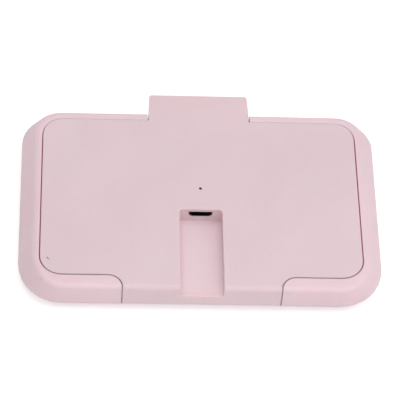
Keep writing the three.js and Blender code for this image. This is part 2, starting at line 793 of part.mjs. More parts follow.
function makeWarmer() {
  const envelope = bodyEnvelope();
  const warmer = new THREE.Group();
  const base = new THREE.Group();
  const lid = new THREE.Group();
  warmer.add(base, lid);

  base.add(part('base_frame', makeFrame(envelope), finish.pinkPlastic()));
  base.add(part('wipe_seal', makeSeal(), finish.silicone()));
  base.add(part('adhesive_pad', makePad(), finish.foam()));
  base.add(part('hinge_pin_left', hingePin(-1), finish.steel()));
  base.add(part('hinge_pin_right', hingePin(1), finish.steel()));

  lid.add(part('lid_shell', makeLidShell(envelope), finish.pinkPlastic()));
  lid.add(part('lid_inner_cover', makeInnerCover(), finish.whitePlastic()));
  lid.add(part('heat_plate', makeHeatPlate(), finish.aluminium()));
  lid.add(part('heater_film', makeFilm(), finish.filmOrange()));
  lid.add(part('insulation_foam', makeFoam(), finish.foam()));
  coverScrewPlaces().forEach(([x, y], index) => {
    const screw = screwAt(x, y, coverZ + screwRecess, screwLength);
    lid.add(part(`cover_screw_${index + 1}`, screw, finish.steel()));
  });

  lid.add(part('circuit_board', makeBoard(), finish.boardGreen()));
  boardScrewPlaces().forEach(([x, y], index) => {
    const screw = screwAt(x, y, boardZ - screwHeadHeight, boardScrewLength);
    lid.add(part(`board_screw_${index + 1}`, screw, finish.steel()));
  });
  lid.add(part('usb_shell', makeSocketShell(), finish.steel()));
  lid.add(part('usb_contact_tongue', makeContactTongue(), finish.blackPlastic()));
  for (let index = 0; index < contactCount; index += 1) {
    lid.add(part(`usb_contact_${index + 1}`, makeContact(index), finish.gold()));
  }

  const ledY = recessRearY + pinholeSetback;
  const chipY = ledY + chipDepth;
  const rowY = boardFrontY + shellLength / 2;
  const rowX = boardWidth / 2 - smallPartWidth;
  lid.add(part('indicator_led', onBoard(0, ledY, ledWidth, ledDepth, ledHeight), finish.lens()));
  lid.add(part('control_chip', onBoard(0, chipY, chipWidth, chipDepth, chipHeight), finish.blackPlastic()));
  const transistor = onBoard(-rowX + transistorWidth / 2, ledY, transistorWidth, transistorDepth, transistorHeight);
  lid.add(part('switching_transistor', transistor, finish.blackPlastic()));
  for (const side of [-1, 1]) {
    const name = side < 0 ? 'capacitor_left' : 'capacitor_right';
    const capacitor = onBoard(side * rowX, rowY, capacitorWidth, capacitorDepth, capacitorHeight);
    lid.add(part(name, capacitor, finish.ceramic()));
  }
  const resistorCount = 3;
  for (let index = 0; index < resistorCount; index += 1) {
    const y = ledY + index * 2 * smallPartDepth;
    const resistor = onBoard(rowX, y, smallPartWidth, smallPartDepth, smallPartHeight);
    lid.add(part(`resistor_${index + 1}`, resistor, finish.blackPlastic()));
  }

  lid.add(part('thermal_cutoff', makeCutoff(), finish.steel()));
  lid.add(part('thermistor', makeThermistor(), finish.lens()));
  const cutoffEnd = cutoffX - cutoffLength / 2 - leadEndGap;
  const cutoffZ = foamZ + cutoffDiameter / 2;
  const redPadX = leadDiameter - boardWidth / 2;
  lid.add(part('heater_lead_red', leadFromBoard(redPadX, cutoffEnd, cutoffZ, -1, leadDiameter), finish.redLead()));
  const linkStart = cutoffX + cutoffLength / 2 + leadEndGap;
  const filmPadZ = foamZ + leadDiameter;
  const link = lead([
    [linkStart, sensorY, cutoffZ],
    [linkStart + leadDiameter, sensorY, cutoffZ],
    [linkStart + 3 * leadDiameter, sensorY, filmPadZ],
    [linkStart + 5 * leadDiameter, sensorY, filmPadZ],
  ], leadDiameter);
  lid.add(part('heater_lead_link', link, finish.redLead()));
  const blackLead = leadFromBoard(leadSpacing / 2, 0, filmPadZ, 1, leadDiameter);
  lid.add(part('heater_lead_black', blackLead, finish.blackLead()));
  const beadZ = foamZ + thermistorDiameter / 2;
  const beadHalf = thermistorLength / 2 + leadEndGap;
  const wire = thermistorLeadDiameter;
  const beadNear = leadFromBoard(thermistorX - leadSpacing / 2, thermistorX - beadHalf, beadZ, -1, wire);
  const beadFar = leadFromBoard(thermistorX + leadSpacing / 2, thermistorX + beadHalf, beadZ, 1, wire);
  lid.add(part('thermistor_lead_1', beadNear, finish.whitePlastic()));
  lid.add(part('thermistor_lead_2', beadFar, finish.whitePlastic()));
  return warmer;
}

export default makeWarmer();
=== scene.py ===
"""Looks for a baby wipe warmer: a heated lid hinged in a rounded pink frame, on a foam pad.

Metres, in the frame of the solids. The near side, with the hinge and the cable recess, faces -Y.
"""

from __future__ import annotations

import logging
import math
from collections.abc import Callable, Iterable, Sequence
from dataclasses import dataclass
from enum import Enum

import bmesh
import bpy
from mathutils import Matrix, Vector

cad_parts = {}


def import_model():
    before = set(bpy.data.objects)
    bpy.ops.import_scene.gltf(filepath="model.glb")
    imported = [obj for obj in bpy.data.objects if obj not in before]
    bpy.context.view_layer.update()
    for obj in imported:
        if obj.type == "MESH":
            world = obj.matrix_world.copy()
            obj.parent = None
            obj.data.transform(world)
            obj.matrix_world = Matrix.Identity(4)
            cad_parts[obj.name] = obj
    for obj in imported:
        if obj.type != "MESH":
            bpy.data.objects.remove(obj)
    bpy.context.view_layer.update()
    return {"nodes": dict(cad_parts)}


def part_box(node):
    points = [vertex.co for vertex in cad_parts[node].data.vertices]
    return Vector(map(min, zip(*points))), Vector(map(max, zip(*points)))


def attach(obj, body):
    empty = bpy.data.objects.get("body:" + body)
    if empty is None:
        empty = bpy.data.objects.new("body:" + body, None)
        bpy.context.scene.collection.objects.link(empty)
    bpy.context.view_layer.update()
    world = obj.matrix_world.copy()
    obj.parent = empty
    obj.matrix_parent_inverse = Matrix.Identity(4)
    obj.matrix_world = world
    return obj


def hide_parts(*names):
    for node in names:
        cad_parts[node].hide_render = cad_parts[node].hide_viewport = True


log = logging.getLogger("wipe_warmer")

MM = 0.001
Colour = tuple[float, ...]
Loop = list[Vector]
Path = Sequence[Sequence[float]]
Box = tuple[Sequence[float], Sequence[float]]
Form = bmesh.types.BMesh
Material = bpy.types.Material
Piece = bpy.types.Object
Socket = bpy.types.NodeSocket


def linear(*display: int) -> Colour:
    """Returns a display colour, from 0 to 255, as linear light."""
    parts = [part / 255 for part in display]
    return tuple(part / 12.92 if part <= 0.04045 else ((part + 0.055) / 1.055) ** 2.4 for part in parts)


def mm(*lengths: float) -> tuple[float, ...]:
    """Returns millimetres as metres."""
    return tuple(length * MM for length in lengths)


def operator(operation: str, turned: bool = False) -> Callable[[Signal, Signal | float], Signal]:
    """Makes a method that joins a signal and another value in one Math node.

    Args:
        operation: The node's operation.
        turned: Whether the other value comes first, as in 1 - mask.

    Returns:
        The method.
    """
    def join(self: Signal, other: Signal | float) -> Signal:
        """Returns the result."""
        pair = {0: other, 1: self} if turned else {0: self, 1: other}
        return Signal(self.tree, self.tree.add("ShaderNodeMath", {"operation": operation}, pair).outputs[0])

    return join


@dataclass(frozen=True, eq=False)
class Signal:
    """A number in a node tree, so that a finish is written as plain sums."""

    tree: TreeBuilder
    socket: Socket

    __add__, __radd__ = operator("ADD"), operator("ADD", True)
    __sub__, __rsub__ = operator("SUBTRACT"), operator("SUBTRACT", True)
    __mul__, __rmul__ = operator("MULTIPLY"), operator("MULTIPLY", True)
    __truediv__, __rtruediv__ = operator("DIVIDE"), operator("DIVIDE", True)
    __pow__, most, least = operator("POWER"), operator("MAXIMUM"), operator("MINIMUM")

    def __neg__(self) -> Signal:
        """Returns the value with its sign turned."""
        return self * -1.0

    def __abs__(self) -> Signal:
        """Returns the value without its sign."""
        return self.most(-self)

    def ramp(self, low: float, high: float) -> Signal:
        """Returns a smooth mask that is 0 at the low value and 1 at the high one."""
        return Signal(self.tree, self.tree.made(
            "ShaderNodeMapRange", {"interpolation_type": "SMOOTHSTEP"},
            Value=self, From_Min=low, From_Max=high))

    def swing(self, share: float) -> Signal:
        """Returns how far a pattern is from its middle value, times a share."""
        return (self - 0.5) * share


class TreeBuilder:
    """The calls that fill any node tree."""

    def __init__(self, tree: bpy.types.NodeTree) -> None:
        """Holds the nodes and links of the tree that is filled."""
        self.nodes, self.links = tree.nodes, tree.links

    def add(
        self, kind: str, settings: dict[str, object] | None = None, inputs: dict[object, object] | None = None
    ) -> bpy.types.Node:
        """Adds a node.

        Args:
            kind: The node's type.
            settings: Its settings, which are set before its sockets.
            inputs: Values or links of its sockets, by name or number.

        Returns:
            The node.
        """
        node = self.nodes.new(kind)
        for name, value in (settings or {}).items():
            setattr(node, name, value)
        for key, value in (inputs or {}).items():
            self.feed(node.inputs[key], value)
        return node

    def made(self, kind: str, settings: dict[str, object] | None = None, **inputs: object) -> Socket:
        """Returns the first output of a new node, its inputs named with underscores for spaces."""
        named = {name.replace("_", " "): value for name, value in inputs.items()}
        return self.add(kind, settings, named).outputs[0]

    def feed(self, socket: Socket, value: object) -> None:
        """Links or sets one socket.

        Args:
            socket: The input.
            value: A signal, an output socket, a list of them, or a plain value.
        """
        for source in value if isinstance(value, list) else [value]:
            if isinstance(source, (Signal, Socket)):
                self.links.new(source.socket if isinstance(source, Signal) else source, socket)
            else:
                socket.default_value = source


@dataclass(frozen=True)
class Cloud:
    """A cloudy pattern: patch size, finer layers, stirring, and the window that makes a mask of it."""

    size: float
    detail: float = 2.0
    rough: float = 0.5
    stir: float = 0.0
    window: tuple[float, float] | None = None


@dataclass
class Finish(TreeBuilder):
    """One material with its colour, and the calls that fill its tree."""

    name: str
    colour: Colour

    def __post_init__(self) -> None:
        """Makes the material and paints it."""
        self.material = bpy.data.materials.new(self.name)
        self.material.use_nodes = True
        super().__init__(self.material.node_tree)
        self.shader = self.nodes["Principled BSDF"]
        self.place = self.add("ShaderNodeTexCoord").outputs["Object"]
        self.paint()

    def paint(self) -> None:
        """Fills the tree, each finish in its own way."""
        raise NotImplementedError

    def stretched(self, scale: Sequence[float], turn: float = 0.0) -> Socket:
        """Returns the object's coordinates scaled along each axis, after a turn about Z."""
        return self.made("ShaderNodeMapping", Vector=self.place, Rotation=(0, 0, turn), Scale=scale)

    def cloud(self, kind: Cloud, vector: Socket | None = None) -> Signal:
        """Adds a cloudy pattern.

        Args:
            kind: How it is drawn, with its size in metres, or in units of the given vector.
            vector: Other coordinates than the object's.

        Returns:
            A value near 0.5, or a mask where the pattern has a window.
        """
        value = Signal(self, self.made(
            "ShaderNodeTexNoise", Vector=vector or self.place, Scale=1 / kind.size, Detail=kind.detail,
            Roughness=kind.rough, Distortion=kind.stir))
        return value.ramp(*kind.window) if kind.window else value

    def cells(self, size: float) -> Signal:
        """Returns the distance from the middle in a pattern of cells of that width."""
        return Signal(self, self.made("ShaderNodeTexVoronoi", Vector=self.place, Scale=1 / size))

    def axis(self, name: str) -> Signal:
        """Returns one of the object's coordinates: X, Y or Z."""
        return Signal(self, self.add("ShaderNodeSeparateXYZ", None, {0: self.place}).outputs[name])

    def spot(self, mark: Mark) -> Signal:
        """Returns a soft oval mask, 1 at a mark's middle and 0 outside it."""
        reach = self.add("ShaderNodeVectorMath", {"operation": "LENGTH"}, {0: self.made(
            "ShaderNodeMapping", {"vector_type": "TEXTURE"}, Vector=self.place, Location=mark.point,
            Rotation=(0, 0, mark.turn), Scale=mark.size)})
        return Signal(self, reach.outputs["Value"]).ramp(1.0, 0.4)

    def corner(self, across: Signal, along: Signal, radius: float) -> Signal:
        """Returns how far a point is outside a round corner, measured from its centre along X and Y."""
        reach = (across.most(0.0) ** 2.0 + along.most(0.0) ** 2.0) ** 0.5
        return reach + across.most(along).least(0.0) - radius

    def mixed(self, mask: Signal, first: object, second: object) -> Socket:
        """Mixes two colours.

        Args:
            mask: 0 gives the first and 1 the second.
            first: A colour or an output.
            second: A colour or an output.

        Returns:
            The mixed colour.
        """
        first, second = ((*side, 1.0) if isinstance(side, tuple) else side for side in (first, second))
        return self.add("ShaderNodeMix", {"data_type": "RGBA"}, {0: mask, 6: first, 7: second}).outputs[2]

    def shade(self, share: float) -> Colour:
        """Returns the finish's colour made lighter or darker by a share."""
        return tuple(min(1.0, part * share) for part in self.colour)

    def toned(self, mask: Signal, low: float, high: float) -> Socket:
        """Returns the colour, taken by a mask from one share of its lightness to another."""
        return self.mixed(mask, self.shade(low), self.shade(high))

    def bump(self, height: Signal, distance: float, strength: float) -> None:
        """Raises the surface by a height pattern, above what was raised before.

        Args:
            height: The pattern, from 0 to 1.
            distance: How high 1 stands, in metres.
            strength: The share of the effect.
        """
        normal = self.shader.inputs["Normal"]
        below = [link.from_socket for link in normal.links]
        self.feed(normal, self.made("ShaderNodeBump", Height=height, Distance=distance, Strength=strength,
                                    Normal=below))

    def surface(self, **values: object) -> None:
        """Sets the shader's sockets, named with underscores for spaces."""
        for name, value in values.items():
            self.feed(self.shader.inputs[name.replace("_", " ")], value)


@dataclass(frozen=True)
class SeamShade:
    """The seam's outline in plan, along which the pink is darkened with painted shade: it stands for the
    shade in the seam's gap and the light that the plastic's edge lets through.
    """

    half_width: float = 52.94 * MM
    near: float = -34.9 * MM
    far: float = 28.8 * MM
    radius: float = 7.2 * MM
    tongue: float = 26 * MM
    shoulder: float = 4.6 * MM
    overlap: float = 3 * MM
    fade: float = 18 * MM
    reach: float = 0.34 * MM
    full_share: float = 0.3
    flank: float = 49 * MM
    # painted shade: the deep pink that the seam is painted with, for the shade in its gap and the light
    # through the plastic's edge
    painted_shade_colour: Colour = (0.57, 0.13, 0.26)
    strength: float = 0.62
    flank_shade: float = 0.36

    def mask(self, tree: Finish) -> Signal:
        """Draws the seam: a panel with round corners, less the two shoulders at its near corners.

        Args:
            tree: The finish that it is part of.

        Returns:
            A mask of painted shade that is strongest on the seam, gone at its reach and faded out along the
            rear.
        """
        x, y = abs(tree.axis("X")), tree.axis("Y")
        middle, half = (self.near + self.far) / 2, (self.far - self.near) / 2
        past_side, past_end = x - (self.half_width - self.radius), abs(y - middle) - (half - self.radius)
        panel = tree.corner(past_side, past_end, self.radius)
        bend = self.tongue + self.shoulder
        block = tree.corner(bend - x, y - (self.near - self.shoulder), self.shoulder)
        lid = panel.least((-block).most(x - bend).most(y - (self.near + self.overlap)))
        # painted shade: the seam is painted darker along the flanks
        strength = self.strength + x.ramp(self.flank, self.half_width - self.reach) * self.flank_shade
        near = abs(lid).ramp(self.reach, self.full_share * self.reach)
        return near * y.ramp(self.far, self.fade) * strength


@dataclass(frozen=True)
class ChannelPaintedLight:
    """The cable channel, painted paler inside: painted light that stands for the light its walls pass on."""

    half_width: float = 7.3 * MM
    far: float = -8.5 * MM
    near: float = -39.8 * MM
    rise: float = 2 * MM
    top: float = 12.78 * MM
    fade: float = 0.3 * MM
    # painted light: the paler pink that the channel's floor and walls are painted with
    colour: Colour = (0.824, 0.64, 0.683)

    def mask(self, tree: Finish) -> Signal:
        """Fades the channel in from its rims.

        Args:
            tree: The finish that it is part of.

        Returns:
            A mask of painted light that is full inside the channel.
        """
        across = abs(tree.axis("X")).ramp(self.half_width, self.half_width - self.fade)
        y = tree.axis("Y")
        along = y.ramp(self.far, self.far - self.fade) * y.ramp(self.near, self.near + self.rise)
        return across * along * tree.axis("Z").ramp(self.top, self.top - self.fade)


@dataclass(frozen=True)
class Mark:
    """A small dark place on a moulding: a rub, or a hole whose dark is painted shade."""

    point: Sequence[float]
    size: Sequence[float]
    turn: float = 0.0
    darkness: float = 1.0


@dataclass
class MouldedPlastic(Finish):
    """Injection moulded plastic: satin, with a faint flow of tone, fine grain and small rub marks."""

    roughness: float = 0.36
    tone_shift: float = 0.03
    rub: float = 0.5
    scuffs: Sequence[Mark] = ()
    # painted shade in the pinhole
    pinhole: Mark | None = None
    # painted light inside the cable channel
    channel: ChannelPaintedLight | None = None
    # painted shade along the seam
    seam: SeamShade | None = None
    flow: Cloud = Cloud(38 * MM, 3, 0.55, 0.6)
    speck: Cloud = Cloud(1.3 * MM, 2, 0.6)
    speck_share: float = 0.25
    rub_share: float = 0.25
    rub_shade: float = 1.12
    scuff_shade: float = 0.22
    # painted shade: how dark the pinhole's walls are painted
    painted_hole_shade: float = 0.02
    tone_window: tuple[float, float] = (0.3, 0.7)
    rough_flow: float = 0.1
    rough_rub: float = 0.18
    rough_speck: float = 0.05
    scratch: Cloud = Cloud(1.0, window=(0.70, 0.78))
    scratch_stretch: Sequence[float] = (260, 2600, 2600)
    scratch_turn: float = 0.5
    patch: Cloud = Cloud(17 * MM, 3, 0.6, window=(0.56, 0.72))
    fray: Cloud = Cloud(0.4 * MM, 2, 0.6, window=(0.38, 0.5))
    wave: Cloud = Cloud(9 * MM, 1, 0.4)
    wave_height: float = 0.03 * MM
    grain: Cloud = Cloud(0.22 * MM, 2, 0.55)
    grain_height: float = 0.004 * MM
    depth: float = 0.4
    scatter: Sequence[float] = mm(2.4, 1.1, 1.2)

    def paint(self) -> None:
        """Lays flow, rubs, the seam's painted shade and marks over the colour, with painted light in the
        channel and painted shade in the pinhole.
        """
        flow, speck = self.cloud(self.flow), self.cloud(self.speck)
        tone = (flow * (1 - self.speck_share) + speck * self.speck_share).ramp(*self.tone_window)
        lit = self.toned(tone, 1 - self.tone_shift, 1 + self.tone_shift)
        scratch = self.cloud(self.scratch, self.stretched(self.scratch_stretch, self.scratch_turn))
        rubbed = scratch * self.cloud(self.patch) * self.rub
        colour = self.mixed(rubbed * self.rub_share, lit, self.shade(self.rub_shade))
        # painted light: the channel is painted paler
        if self.channel:
            colour = self.mixed(self.channel.mask(self), colour, self.channel.colour)
        # painted shade: the seam is darkened in the colour
        if self.seam:
            colour = self.mixed(self.seam.mask(self), colour, self.seam.painted_shade_colour)
        for scuff in self.scuffs:
            mark = self.spot(scuff) * self.cloud(self.fray)
            colour = self.mixed(mark * scuff.darkness, colour, self.shade(self.scuff_shade))
        # painted shade: the pinhole's walls are painted near black for the shade inside the hole
        if self.pinhole:
            colour = self.mixed(self.spot(self.pinhole), colour, self.shade(self.painted_hole_shade))
        rough = self.roughness + flow.swing(self.rough_flow) + rubbed * self.rough_rub
        self.bump(self.cloud(self.wave), self.wave_height, strength=0.5)
        self.bump(self.cloud(self.grain), self.grain_height, strength=0.6)
        self.surface(
            Base_Color=colour, Roughness=rough + speck.swing(self.rough_speck), IOR=1.5,
            Subsurface_Weight=self.depth, Subsurface_Radius=self.scatter, Subsurface_Scale=1.0)


@dataclass
class SoftRubber(Finish):
    """Milky silicone: soft sheen, dust specks and a faint mould grain."""

    milk: Cloud = Cloud(11 * MM, 3, 0.6)
    dust: Cloud = Cloud(0.35 * MM, 2, 0.7, window=(0.66, 0.78))
    grain: Cloud = Cloud(0.3 * MM)
    grain_height: float = 0.008 * MM
    scatter: Sequence[float] = mm(2, 1.5, 1.2)

    def paint(self) -> None:
        """Lays dust over a milky cloud."""
        milk, dust = self.cloud(self.milk), self.cloud(self.dust)
        base = self.toned(milk, low=0.95, high=1.03)
        self.bump(self.cloud(self.grain), self.grain_height, strength=0.6)
        self.surface(
            Base_Color=self.mixed(dust * 0.3, base, self.shade(1.2)),
            Roughness=0.46 + milk.swing(0.16) + dust * 0.2,
            Subsurface_Weight=0.15, Subsurface_Radius=self.scatter, Subsurface_Scale=1.0, Sheen_Weight=0.15)


@dataclass
class CellFoam(Finish):
    """Closed-cell foam: small bubbles, pressed flat on its faces, a little grubby in places."""

    cell: float = 0.45 * MM
    fine_share: float = 0.4
    pit_depth: float = 0.05 * MM
    wash: Cloud = Cloud(14 * MM, 3, 0.6)

    def paint(self) -> None:
        """Sinks large and fine bubbles, darkened with painted shade, into a washed colour."""
        cells, fine = self.cells(self.cell), self.cells(self.cell * self.fine_share)
        pit = (cells * 1.4 + fine * 0.5).ramp(0.25, 1.1)
        wash = self.cloud(self.wash)
        base = self.toned(wash, low=0.93, high=1.03)
        self.bump(1 - pit, self.pit_depth, strength=0.7)
        self.surface(
            # painted shade: the bubble pits are also painted darker
            Base_Color=self.mixed(pit * 0.5, base, self.shade(0.78)),
            Roughness=0.86 + wash.swing(0.12), Sheen_Weight=0.1)


class Grain(Enum):
    """How a metal was worked, as stretch of its marks along X, Y and Z."""

    TURNED = (900.0, 900.0, 9000.0)
    ROLLED = (120.0, 5200.0, 5200.0)
    PLATED = (1500.0, 1500.0, 1500.0)


@dataclass
class WorkedMetal(Finish):
    """Bare or plated metal with working marks, smears and darker spots."""

    roughness: float
    grain: Grain
    stain: float = 0.2
    marks: Cloud = Cloud(1.0, 3, 0.65)
    mark_height: float = 0.006 * MM
    smear: Cloud = Cloud(6 * MM, 4, 0.6)
    spots: Cloud = Cloud(1.1 * MM, 3, 0.7, window=(0.6, 0.75))

    def paint(self) -> None:
        """Draws the marks along the metal's grain, with spots over them."""
        marks = self.cloud(self.marks, self.stretched(self.grain.value))
        smear = self.cloud(self.smear)
        base = self.toned(marks, low=0.86, high=1.08)
        colour = self.mixed(self.cloud(self.spots) * self.stain, base, self.shade(0.6))
        self.bump(marks, self.mark_height, strength=0.7)
        self.surface(Base_Color=colour, Metallic=1.0,
                     Roughness=self.roughness + marks.swing(0.2) + smear.swing(0.16))


@dataclass
class HeaterLaminate(Finish):
    """Amber film laminate: gloss, faint ripples and trapped flecks."""

    tint: Cloud = Cloud(9 * MM, 3)
    flecks: Cloud = Cloud(0.5 * MM, 2, 0.6, window=(0.64, 0.74))
    ripple: Cloud = Cloud(4 * MM)
    ripple_height: float = 0.05 * MM

    def paint(self) -> None:
        """Lays flecks over a cloudy amber and ripples the film."""
        flecks, tint = self.cloud(self.flecks), self.cloud(self.tint)
        base = self.toned(tint, low=0.85, high=1.12)
        self.bump(self.cloud(self.ripple), self.ripple_height, strength=0.5)
        self.surface(
            Base_Color=self.mixed(flecks * 0.4, base, self.shade(0.5)),
            Roughness=0.24 + tint.swing(0.14) + flecks * 0.1, Coat_Weight=0.4)


@dataclass
class BoardLacquer(Finish):
    """Green circuit lacquer over glass cloth, with the weave and copper tracks showing through."""

    weave_scale: float = 700.0
    weave_stir: float = 0.6
    weave_height: float = 0.01 * MM
    track_scale: float = 260.0
    track_height: float = 0.03 * MM
    turns: Cloud = Cloud(6 * MM, 0, 0.0, window=(0.49, 0.5))

    def bands(self, direction: str, scale: float, stirred: float) -> Signal:
        """Returns parallel bands across X or Y."""
        sockets = {"Vector": self.place, "Scale": scale, "Distortion": stirred}
        return Signal(self, self.add("ShaderNodeTexWave", {"bands_direction": direction}, sockets).outputs[1])

    def paint(self) -> None:
        """Raises tracks, which run one way or the other by place, over the weave."""
        warp, weft = (self.bands(way, self.weave_scale, self.weave_stir) for way in "XY")
        along, across = (self.bands(way, self.track_scale, 0.0).ramp(0.62, 0.7) for way in "XY")
        weave, turns = warp * weft, self.cloud(self.turns)
        track = turns * along + (1.0 - turns) * across
        base = self.mixed(weave * 0.35, self.colour, self.shade(1.5))
        colour = self.mixed(track * 0.35, base, self.shade(1.9))
        self.bump(track, self.track_height, strength=0.8)
        self.bump(weave, self.weave_height, strength=0.4)
        self.surface(Base_Color=colour, Roughness=0.34 + weave * 0.1, Coat_Weight=0.3)


@dataclass
class BodyOfPart(Finish):
    """The body of a small electrical piece: resin, ceramic or glass with fine speckle."""

    roughness: float = 0.5
    flecks: Cloud = Cloud(0.12 * MM, 2, 0.6)
    fleck_height: float = 0.004 * MM
    wash: Cloud = Cloud(2.2 * MM)

    def paint(self) -> None:
        """Speckles the colour and washes it in places."""
        flecks, wash = self.cloud(self.flecks), self.cloud(self.wash)
        base = self.toned(flecks, low=0.8, high=1.25)
        colour = self.mixed(wash.ramp(0.5, 0.8) * 0.3, base, self.shade(1.5))
        self.bump(flecks, self.fleck_height, strength=0.7)
        self.surface(Base_Color=colour, Roughness=self.roughness + wash.swing(0.2))


@dataclass
class WhiteFloor(Finish):
    """A plain pale floor that keeps the object's shadow, lifted to white for the camera alone."""

    lift: float = 0.36
    drift: Cloud = Cloud(0.4)

    def paint(self) -> None:
        """Adds a glow that only the camera sees to a matt floor."""
        colour = self.toned(self.cloud(self.drift), low=0.995, high=1.005)
        seen = Signal(self, self.add("ShaderNodeLightPath").outputs["Is Camera Ray"])
        glow = self.mixed(seen, (0.0, 0.0, 0.0), (self.lift, self.lift, self.lift))
        self.surface(
            Base_Color=colour, Roughness=0.9, Specular_IOR_Level=0.0,
            Emission_Color=glow, Emission_Strength=1.0)


class Finishes(dict[str, Material]):
    """Every finish of the warmer, each made once and found by its name."""

    FRAME_PINK: Colour = (0.82, 0.622, 0.672)
    # painted shade: the lid's pink is a darker copy of the frame's, for the shade on the lid's top
    SHADED_LID_PINK: Colour = (0.766, 0.6, 0.637)
    FRAME_RUB = Mark(mm(-52, -36.3, 12), mm(0.14, 0.7, 1), 0.1, 0.45)
    LID_RUB = Mark(mm(-50.1, -28.9, 12.8), mm(1.1, 0.26, 1), -0.74)
    # painted shade: where the pinhole is painted dark
    PINHOLE = Mark(mm(0.0, 0.3, 12), mm(1.2, 1.2, 0.8))

    def __init__(self) -> None:
        """Builds all materials."""
        super().__init__((finish.name, finish.material) for finish in (
            # both pink mouldings carry the seam's painted shade
            MouldedPlastic("pink_frame_plastic", self.FRAME_PINK, scuffs=(self.FRAME_RUB,), seam=SeamShade()),
            MouldedPlastic("pink_lid_plastic", self.SHADED_LID_PINK, 0.38, 0.025, scuffs=(self.LID_RUB,),
                           pinhole=self.PINHOLE, channel=ChannelPaintedLight(), seam=SeamShade()),
            MouldedPlastic("white_cover_plastic", linear(236, 233, 229), 0.42, 0.02),
            MouldedPlastic("black_plastic", linear(24, 24, 26), 0.45, 0.1, rub=0.2),
            SoftRubber("silicone", linear(232, 226, 223)),
            CellFoam("pad_foam", linear(240, 238, 233)),
            CellFoam("insulation_foam", linear(226, 224, 219), 0.7 * MM),
            WorkedMetal("steel", linear(190, 192, 196), 0.3, Grain.TURNED),
            # painted shade: the socket's shell is dark for the shade deep inside the socket
            WorkedMetal("dark_tin", linear(52, 48, 50), 0.5, Grain.PLATED, 0.3),
            WorkedMetal("aluminium", linear(206, 208, 210), 0.34, Grain.ROLLED, 0.1),
            WorkedMetal("contact_metal", linear(216, 182, 100), 0.28, Grain.PLATED),
            HeaterLaminate("heater_film", linear(176, 104, 34)),
            BoardLacquer("board", linear(24, 98, 54)),
            BodyOfPart("led_lens", linear(240, 232, 208), 0.25),
            BodyOfPart("smoked_lens", linear(16, 12, 13), 0.3),
            BodyOfPart("ceramic", linear(184, 142, 104), 0.45),
            BodyOfPart("lead_red", linear(176, 30, 40), 0.45),
            BodyOfPart("lead_black", linear(26, 26, 28), 0.45),
            BodyOfPart("lead_white", linear(228, 226, 220), 0.45),
            WhiteFloor("floor", (0.93, 0.93, 0.93)),
        ))


def centre(node: str) -> list[float]:
    """Returns the middle of a solid's box."""
    low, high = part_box(node)
    return [(low[axis] + high[axis]) / 2 for axis in range(3)]


def add_object(name: str, data: bpy.types.ID) -> Piece:
    """Returns a new object that holds a mesh, light or camera, linked to the scene."""
    bpy.context.scene.collection.objects.link(made := bpy.data.objects.new(name, data))
    return made


def skin_ring(name: str, loops: Sequence[Loop]) -> Piece:
    """Joins loops of equal length, the last to the first, into a closed ring.

    Args:
        name: The new object's name.
        loops: The loops, in order round the ring's section.

    Returns:
        The object.
    """
    mesh = bpy.data.meshes.new(name)
    form = bmesh.new()
    rows = [[form.verts.new(point) for point in loop] for loop in loops]
    count = len(rows[0])
    for row, following in zip(rows, rows[1:] + rows[:1]):
        for point in range(count):
            other = (point + 1) % count
            form.faces.new((row[point], row[other], following[other], following[point]))
    bmesh.ops.recalc_face_normals(form, faces=form.faces)
    form.to_mesh(mesh)
    form.free()
    return add_object(name, mesh)


def smooth(piece: Piece, angle: float = 50.0) -> None:
    """Shades a mesh smooth, with edges sharper than an angle left crisp.

    Args:
        piece: The object.
        angle: The angle in degrees.
    """
    form = bmesh.new()
    form.from_mesh(piece.data)
    limit = math.radians(angle)
    for face in form.faces:
        face.smooth = True
    for edge in form.edges:
        edge.smooth = len(edge.link_faces) == 2 and edge.calc_face_angle(0.0) < limit
    form.to_mesh(piece.data)
    form.free()


def apply_modifiers(piece: Piece) -> None:
    """Turns the evaluated object into a plain mesh and clears its modifiers.

    Args:
        piece: The object.
    """
    graph = bpy.context.evaluated_depsgraph_get()
    mesh = bpy.data.meshes.new_from_object(piece.evaluated_get(graph), depsgraph=graph)
    piece.modifiers.clear()
    piece.data = mesh


def hand_over(piece: Piece, body: str, slot: str, *nodes: str) -> None:
    """Args:
        piece: The object.
        body: The body that carries it.
        slot: Not used.
        nodes: The solids that it takes the place of.
    """
    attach(piece, body)
    if nodes:
        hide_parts(*nodes)
    log.info("%s: %d faces", piece.name, len(piece.data.polygons))


def within(point: Vector, boxes: Sequence[Box]) -> bool:
    """Tells whether a point is inside one of the boxes."""
    return any(all(low[axis] <= point[axis] <= high[axis] for axis in range(3)) for low, high in boxes)


